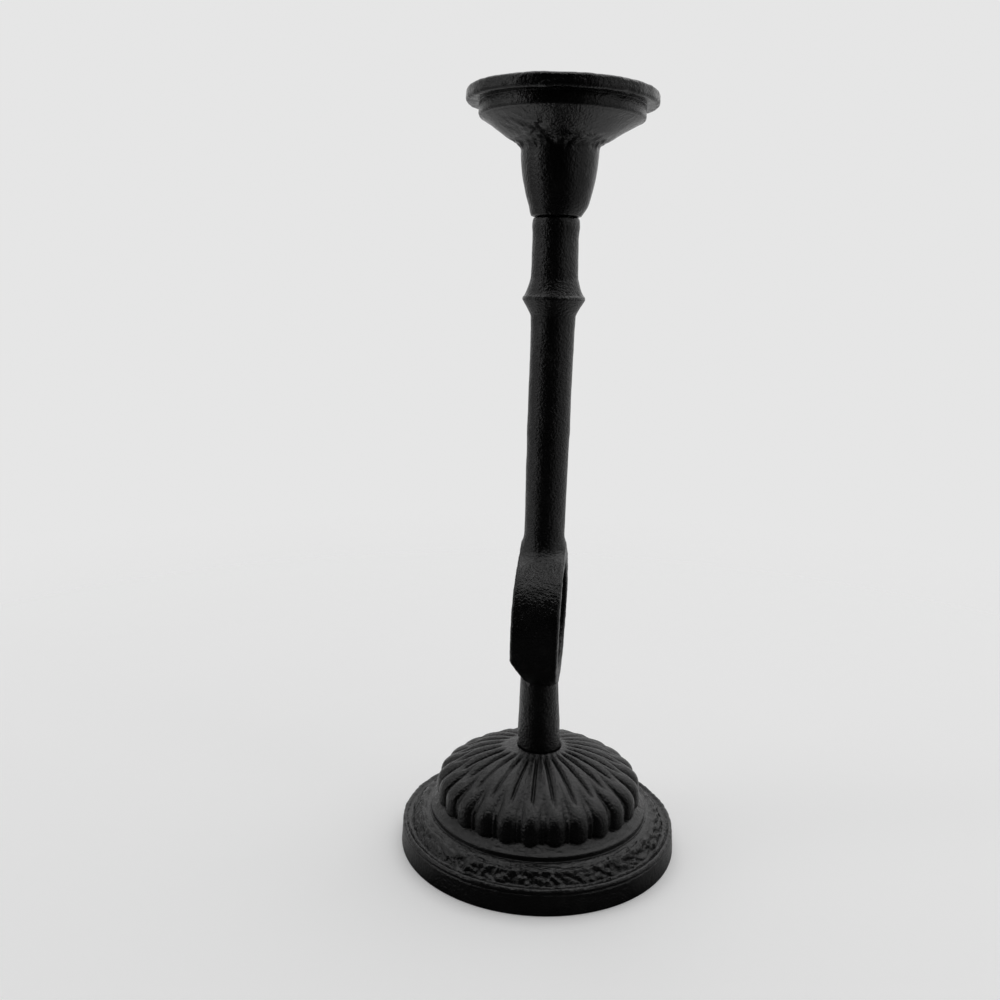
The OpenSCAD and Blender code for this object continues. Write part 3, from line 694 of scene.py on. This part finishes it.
def cup_relief(line, angle):
    """Relief of the outside: seams, the rough joint of cup and cone, marks under the pan, and the rim."""
    r, z, at = turn_line(line, angle)
    relief = casting_noise(at, 40)
    seams = np.maximum(bell((angle_from(angle, 0) * r, 0.5)), bell((angle_from(angle, 180) * r, 0.5)))
    seams = 0.15 * seams * smooth((z - 297) / 4) * smooth((320 - z) / 4)
    relief = relief + seams * (0.6 + 0.5 * lumps(at, 6.0, 41))

    joint = bell((z - JOINT_Z, JOINT_W)) * smooth((r - 15) / 1)
    relief = relief + CONE_FULLER * smooth((z - 320) / 3) * smooth((r - 18) / 3)
    relief = relief + joint * (0.60 * lumps(at, 2.0, 42) - 0.40)

    cone = smooth((z - CUP_Z - CUP_H + 0.5) / 1.5) * smooth((STEP_Z - 0.3 - z) / 1.0)
    left_patch = bell((angle_from(angle, -31), 0.36), (r - 24, 6))
    relief = relief + cone * left_patch * (0.55 * lumps(at, 2.6, 43) + 0.20 * lumps(at, 1.2, 44))
    crease = mark(angle, r, -18.0, -10.2, 24.8, 17.4, 0.8) * cone
    flat = bell((angle_from(angle, -11), 0.13), (r - 22.5, 3)) * cone
    relief = relief - 0.55 * crease - 0.30 * flat

    rim = smooth((z - RIM_Z + 0.8) / 0.8)
    on_rim = smooth((r - 38) / 1)
    bump = bell((angle_from(angle, -5.8), 0.065), (z - RIM_Z - 0.6, 0.9)) * on_rim
    notch = bell((angle_from(angle, 44.3), 0.05), (z - RIM_Z - 0.3, 1.0)) * on_rim
    uneven = 0.12 * lumps(at, 8.0, 45) + 0.14 * lumps(at, 2.2, 49)
    relief = relief + 0.45 * bump - 0.55 * notch + rim * uneven
    step_face = smooth((z - STEP_Z) / 0.5) * smooth((RIM_Z - z) / 0.5)
    relief = relief + step_face * 0.10 * lumps(at, 3.0, 46)
    return relief * smooth((r - 6) / 3)


def build_cup(material):
    around = 300
    angle = np.arange(around)[None, :] * 2 * math.pi / around
    line = cup_outline()
    outside = raised(line, section_normals(line), cup_relief(line, angle), angle)
    outside[..., 0] += CUP_STRAY * smooth((line[:, 1:] - CUP_Z - 0.3) / 5)

    line = socket_outline()
    _, z, at = turn_line(line, angle)
    open_part = smooth((z - MOUTH_Z + 1.5) / 1.5)
    relief = open_part * (casting_noise(at, 47) + 0.10 * lumps(at, 2.0, 48)) - 0.06
    relief = relief * smooth((PAN_TOP + RIM_RISE - z + 0.02) / 0.3)
    inside = raised(line, section_normals(line), relief, angle)
    inside[..., 0] += CUP_STRAY * smooth((z - SOCKET_Z) / 8)

    points = np.concatenate([outside, inside])
    in_pan = smooth((points[..., 2] - MOUTH_Z) / 8)
    points[..., 2] -= PAN_TILT * points[..., 0] * in_pan
    points[..., 0] += PAN_STRAY * in_pan
    faces = grid_faces(points.shape[0], around)
    return make_piece("cup_and_pan_shell", points, faces, "cup_and_pan", material)


# ---------- materials ----------

def new_material(name):
    """(material, its node tree, its Principled shader)"""
    material = bpy.data.materials.new(name)
    material.use_nodes = True
    tree = material.node_tree
    return material, tree, next(n for n in tree.nodes if n.type == "BSDF_PRINCIPLED")


def noise_node(tree, size_mm, detail, roughness=0.5):
    """Noise texture on object coordinates with features about size_mm wide."""
    where = tree.nodes.new("ShaderNodeTexCoord")
    node = tree.nodes.new("ShaderNodeTexNoise")
    node.inputs["Scale"].default_value = 1 / (size_mm * MM)
    node.inputs["Detail"].default_value = detail
    node.inputs["Roughness"].default_value = roughness
    tree.links.new(where.outputs["Object"], node.inputs["Vector"])
    return node


def ramp_node(tree, source, stops):
    """Colour ramp from (position, grey or colour) stops."""
    node = tree.nodes.new("ShaderNodeValToRGB")
    node.color_ramp.elements[0].position = stops[0][0]
    node.color_ramp.elements[1].position = stops[-1][0]
    for position, _ in stops[1:-1]:
        node.color_ramp.elements.new(position)
    for element, (_, value) in zip(node.color_ramp.elements, stops):
        colour = value if isinstance(value, tuple) else (value,) * 3
        element.color = (*colour, 1)
    tree.links.new(source, node.inputs["Fac"])
    return node


def bump_node(tree, height, distance_mm, strength, before=None):
    """Bump that adds height on top of another bump."""
    node = tree.nodes.new("ShaderNodeBump")
    node.inputs["Strength"].default_value = strength
    node.inputs["Distance"].default_value = distance_mm * MM
    tree.links.new(height, node.inputs["Height"])
    if before is not None:
        tree.links.new(before.outputs["Normal"], node.inputs["Normal"])
    return node


def black_paint(name, grain, gloss):
    """Satin black paint over sand-cast iron. grain scales its bumps, and gloss sets its roughness."""
    patch_size, sand_size, pebble_size = 11, 1.05, 4.5
    sand_bump, pebble_bump = 0.44, 0.13
    smoother, rougher = 0.04, 0.10
    material, tree, shader = new_material(name)
    patches = noise_node(tree, patch_size, 3)
    blacks = [(0.32, (0.0020, 0.0020, 0.0020)), (0.55, (0.0030, 0.0030, 0.0031)),
              (0.72, (0.0050, 0.0049, 0.0048))]
    colour = ramp_node(tree, patches.outputs["Fac"], blacks)
    tree.links.new(colour.outputs["Color"], shader.inputs["Base Color"])
    sand = noise_node(tree, sand_size, 2, 0.6)
    rough = ramp_node(tree, sand.outputs["Fac"], [(0.3, gloss - smoother), (0.7, gloss + rougher)])
    tree.links.new(rough.outputs["Color"], shader.inputs["Roughness"])
    pebbles = noise_node(tree, pebble_size, 2, 0.5)
    first = bump_node(tree, pebbles.outputs["Fac"], pebble_bump * grain, 1.0)
    second = bump_node(tree, sand.outputs["Fac"], sand_bump * grain, 1.0, first)
    tree.links.new(second.outputs["Normal"], shader.inputs["Normal"])
    return material


def zinc_plate(name):
    """Dull zinc plating with a fine tooled texture and darker stains."""
    stain_size, tooling_size, tooling_bump = 3.2, 0.35, 0.05
    material, tree, shader = new_material(name)
    stains = noise_node(tree, stain_size, 4)
    colour = ramp_node(tree, stains.outputs["Fac"], [(0.3, (0.30, 0.30, 0.31)), (0.65, (0.56, 0.57, 0.60))])
    tree.links.new(colour.outputs["Color"], shader.inputs["Base Color"])
    shader.inputs["Metallic"].default_value = 1.0
    fine = noise_node(tree, tooling_size, 3)
    rough = ramp_node(tree, fine.outputs["Fac"], [(0.3, 0.30), (0.7, 0.48)])
    tree.links.new(rough.outputs["Color"], shader.inputs["Roughness"])
    bump = bump_node(tree, fine.outputs["Fac"], tooling_bump, 0.6)
    tree.links.new(bump.outputs["Normal"], shader.inputs["Normal"])
    return material


def dress_fasteners():
    """The screws and washers keep their solids, with a plated finish and softened edges."""
    plate = zinc_plate("zinc_plate")
    for name in ("base_bolt", "base_flat_washer", "base_lock_washer", "cup_screw", "cup_screw_washer"):
        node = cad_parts[name]
        node.data.materials.clear()
        node.data.materials.append(plate)
        bevel = node.modifiers.new("soft_edges", "BEVEL")
        bevel.width = 0.12 * MM
        bevel.segments = 2
        bevel.limit_method = "ANGLE"
        bevel.angle_limit = math.radians(35)


# ---------- studio ----------

def make_camera():
    """The camera that was fitted to the photograph's foot, ring, knop and pan."""
    pitch, yaw, roll = CAMERA_PITCH, CAMERA_YAW, CAMERA_ROLL
    turn = Matrix.Rotation(math.radians(CAMERA_TURN), 4, "Z")
    forward = Vector((math.sin(yaw) * math.cos(pitch), math.cos(yaw) * math.cos(pitch), math.sin(pitch)))
    right = Vector((math.cos(yaw), -math.sin(yaw), 0))
    up = right.cross(forward)
    x = math.cos(roll) * right + math.sin(roll) * up
    y = -math.sin(roll) * right + math.cos(roll) * up
    placed = Matrix((x, y, -forward)).transposed().to_4x4()
    placed.translation = Vector((0, -CAMERA_AWAY, CAMERA_Z))
    data = bpy.data.cameras.new("camera")
    data.sensor_width = CAMERA_SENSOR
    data.lens = CAMERA_LENS
    camera = bpy.data.objects.new("camera", data)
    camera.matrix_world = turn @ placed
    bpy.context.scene.collection.objects.link(camera)
    bpy.context.scene.camera = camera
    bpy.context.scene.view_settings.view_transform = "Standard"


def dial_node(tree, vector, stops):
    """Grey by the compass direction of a vector: 0 and 1 behind the stand, and 0.5 at the camera."""
    turned_round = tree.nodes.new("ShaderNodeMapping")
    turned_round.inputs["Rotation"].default_value = (0, 0, math.radians(90 - CAMERA_TURN))
    tree.links.new(vector, turned_round.inputs["Vector"])
    dial = tree.nodes.new("ShaderNodeTexGradient")
    dial.gradient_type = "RADIAL"
    tree.links.new(turned_round.outputs["Vector"], dial.inputs["Vector"])
    return ramp_node(tree, dial.outputs["Fac"], stops)


def smooth_range(tree, source, low, high):
    """0 below low, 1 above high, and a smooth step between."""
    node = tree.nodes.new("ShaderNodeMapRange")
    node.interpolation_type = "SMOOTHSTEP"
    node.inputs["From Min"].default_value = low
    node.inputs["From Max"].default_value = high
    tree.links.new(source, node.inputs["Value"])
    return node


def make_floor():
    """A pale sheet that fades into the background. Its grey as the stand reflects it is painted shade: a
    painted shadow of the photographer in front of the stand, and darker behind the stand.
    """
    h = FLOOR_HALF
    mesh = bpy.data.meshes.new("floor")
    mesh.from_pydata([(-h, -h, 0), (h, -h, 0), (h, h, 0), (-h, h, 0)], [], [(0, 1, 2, 3)])
    floor = bpy.data.objects.new("floor", mesh)
    bpy.context.scene.collection.objects.link(floor)
    material, tree, shader = new_material("floor")
    output = next(n for n in tree.nodes if n.type == "OUTPUT_MATERIAL")
    where = tree.nodes.new("ShaderNodeNewGeometry")
    path = tree.nodes.new("ShaderNodeLightPath")
    reflected_shade = dial_node(tree, where.outputs["Position"], FLOOR_MIRRORED_SHADE)
    shade = tree.nodes.new("ShaderNodeMix")
    shade.data_type = "RGBA"
    # Reflections see the painted shade, and other rays see the even grey
    tree.links.new(path.outputs["Is Glossy Ray"], shade.inputs["Factor"])
    shade.inputs["A"].default_value = (FLOOR_TONE, FLOOR_TONE, FLOOR_TONE, 1)
    tree.links.new(reflected_shade.outputs["Color"], shade.inputs["B"])
    tree.links.new(shade.outputs["Result"], shader.inputs["Base Color"])
    shader.inputs["Roughness"].default_value = 0.9
    shader.inputs["Specular IOR Level"].default_value = 0.0
    glow = tree.nodes.new("ShaderNodeMath")
    glow.operation = "MULTIPLY"
    glow.inputs[1].default_value = FLOOR_GLOW
    tree.links.new(path.outputs["Is Camera Ray"], glow.inputs[0])
    tree.links.new(glow.outputs["Value"], shader.inputs["Emission Strength"])
    away = tree.nodes.new("ShaderNodeVectorMath")
    away.operation = "LENGTH"
    tree.links.new(where.outputs["Position"], away.inputs[0])
    far = smooth_range(tree, away.outputs["Value"], FLOOR_FADE_FROM, FLOOR_FADE_TO)
    clear = tree.nodes.new("ShaderNodeBsdfTransparent")
    mix = tree.nodes.new("ShaderNodeMixShader")
    tree.links.new(far.outputs["Result"], mix.inputs[0])
    tree.links.new(shader.outputs["BSDF"], mix.inputs[1])
    tree.links.new(clear.outputs["BSDF"], mix.inputs[2])
    tree.links.new(mix.outputs["Shader"], output.inputs["Surface"])
    mesh.materials.append(material)


def make_world():
    """Pale all round the object, and dark in front of it, where the photographer stands."""
    world = bpy.data.worlds.new("studio")
    bpy.context.scene.world = world
    world.use_nodes = True
    tree = world.node_tree
    tree.nodes.clear()
    out = tree.nodes.new("ShaderNodeOutputWorld")
    seen = tree.nodes.new("ShaderNodeBackground")
    seen.inputs["Color"].default_value = (BACKDROP, BACKDROP, BACKDROP, 1)
    lit = tree.nodes.new("ShaderNodeBackground")
    where = tree.nodes.new("ShaderNodeTexCoord")
    round_about = dial_node(tree, where.outputs["Generated"], ROUND_ABOUT)
    split = tree.nodes.new("ShaderNodeSeparateXYZ")
    tree.links.new(where.outputs["Generated"], split.inputs["Vector"])
    overhead = smooth_range(tree, split.outputs["Z"], CEILING_FROM, CEILING_FULL)
    upward = tree.nodes.new("ShaderNodeMapRange")
    limits = (("From Min", -HORIZON), ("From Max", HORIZON), ("To Min", WALL_LOW), ("To Max", WALL_HIGH))
    for name, value in limits:
        upward.inputs[name].default_value = value
    tree.links.new(split.outputs["Z"], upward.inputs["Value"])
    walls = tree.nodes.new("ShaderNodeVectorMath")
    walls.operation = "SCALE"
    tree.links.new(round_about.outputs["Color"], walls.inputs[0])
    tree.links.new(upward.outputs["Result"], walls.inputs["Scale"])
    blend = tree.nodes.new("ShaderNodeMix")
    blend.data_type = "RGBA"
    tree.links.new(overhead.outputs["Result"], blend.inputs["Factor"])
    tree.links.new(walls.outputs["Vector"], blend.inputs["A"])
    blend.inputs["B"].default_value = (CEILING, CEILING, CEILING, 1)
    tree.links.new(blend.outputs["Result"], lit.inputs["Color"])
    path = tree.nodes.new("ShaderNodeLightPath")
    mix = tree.nodes.new("ShaderNodeMixShader")
    tree.links.new(path.outputs["Is Camera Ray"], mix.inputs[0])
    tree.links.new(lit.outputs["Background"], mix.inputs[1])
    tree.links.new(seen.outputs["Background"], mix.inputs[2])
    tree.links.new(mix.outputs["Shader"], out.inputs["Surface"])


def add_softbox():
    """A square softbox that faces the middle of the object."""
    data = bpy.data.lights.new("top_softbox", "AREA")
    data.size = SOFTBOX_SIZE
    data.energy = SOFTBOX_POWER
    lamp = bpy.data.objects.new("top_softbox", data)
    lamp.location = SOFTBOX_AT
    aim = Vector((0, 0, SOFTBOX_AIM_Z)) - Vector(SOFTBOX_AT)
    lamp.rotation_euler = aim.to_track_quat("-Z", "Y").to_euler()
    bpy.context.scene.collection.objects.link(lamp)


def main():
    make_camera()
    build_foot(black_paint("foot_paint", 1.0, 0.17))
    build_stem(black_paint("stem_paint", 1.0, 0.16))
    build_cup(black_paint("cup_paint", 0.7, 0.13))
    dress_fasteners()
    make_floor()
    make_world()
    add_softbox()


main()
